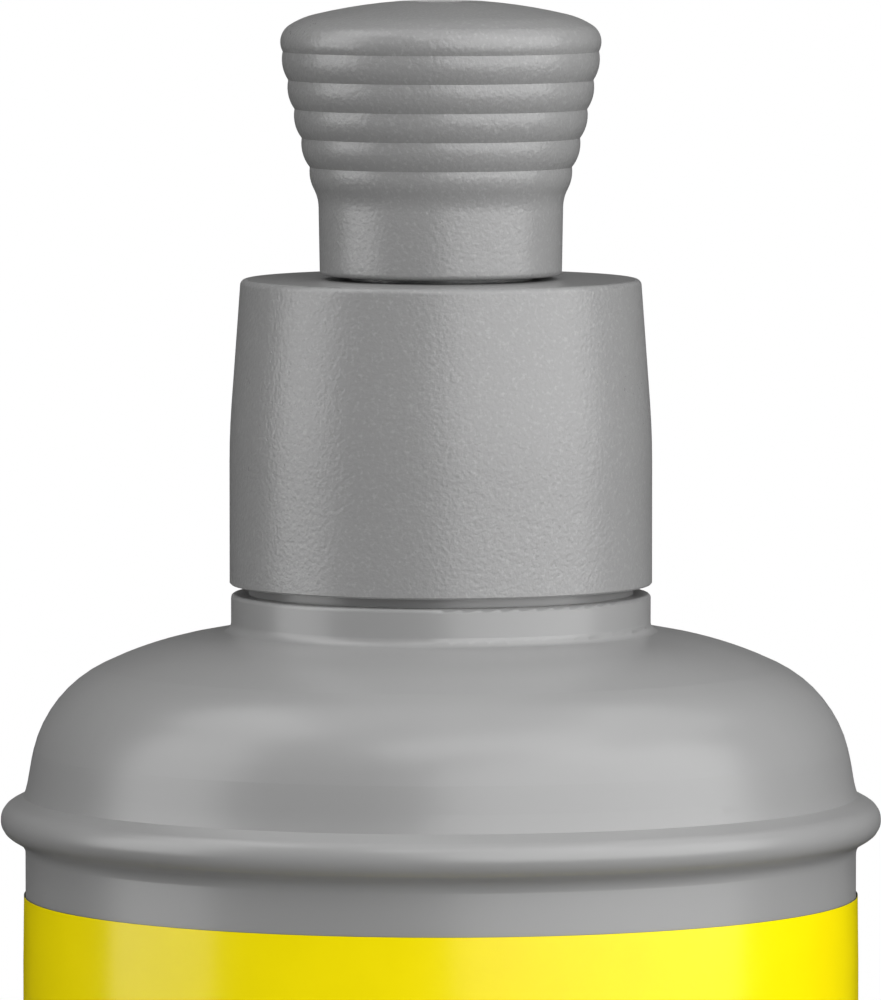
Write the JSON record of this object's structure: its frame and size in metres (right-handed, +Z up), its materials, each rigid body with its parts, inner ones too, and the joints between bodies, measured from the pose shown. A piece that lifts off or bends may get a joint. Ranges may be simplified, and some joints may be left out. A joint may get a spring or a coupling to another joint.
{
  "type": "push-pull squeeze bottle",
  "caption": "Round squeeze bottle with a beaded, domed shoulder, a plain wrap label and a screw-on closure with a ribbed push-pull spout.",
  "frame": {"origin": "on the bottle's axis, in the plane of its standing ring", "axes": "+Z up along the axis through the neck and the spout; +Y towards the label's lapped seam"},
  "size_m": [0.0662, 0.066, 0.1613],
  "materials": {
    "bottle_plastic": "smooth satin, opaque grey",
    "label_film": "satin yellow film, unprinted",
    "washer_foam": "white closed-cell foam",
    "closure_plastic": "fine matt spark-eroded texture, opaque grey",
    "spout_plastic": "fine matt spark-eroded texture, opaque grey"
  },
  "bodies": {
    "bottle": {"bottle": "bottle_plastic", "label": "label_film"},
    "sealing_washer": {"sealing_washer": "washer_foam"},
    "closure": {"closure": "closure_plastic"},
    "spout": {"spout": "spout_plastic"}
  },
  "joints": [
    {"name": "closure_lift", "type": "slide", "parent": "bottle", "child": "sealing_washer", "axis": [0, 0, 1], "range_m": [0, 0.0254]},
    {"name": "closure_turn", "type": "hinge", "parent": "sealing_washer", "child": "closure", "pos_m": [0, 0, 0.139], "axis": [0, 0, 1], "range_deg": [0, 2160]},
    {"name": "spout_pull", "type": "slide", "parent": "closure", "child": "spout", "axis": [0, 0, 1], "range_m": [0, 0.0055]}
  ],
  "couplings": [
    {"joint": "closure_lift", "follows": "closure_turn", "m_per_rad": 0.00067376}
  ]
}
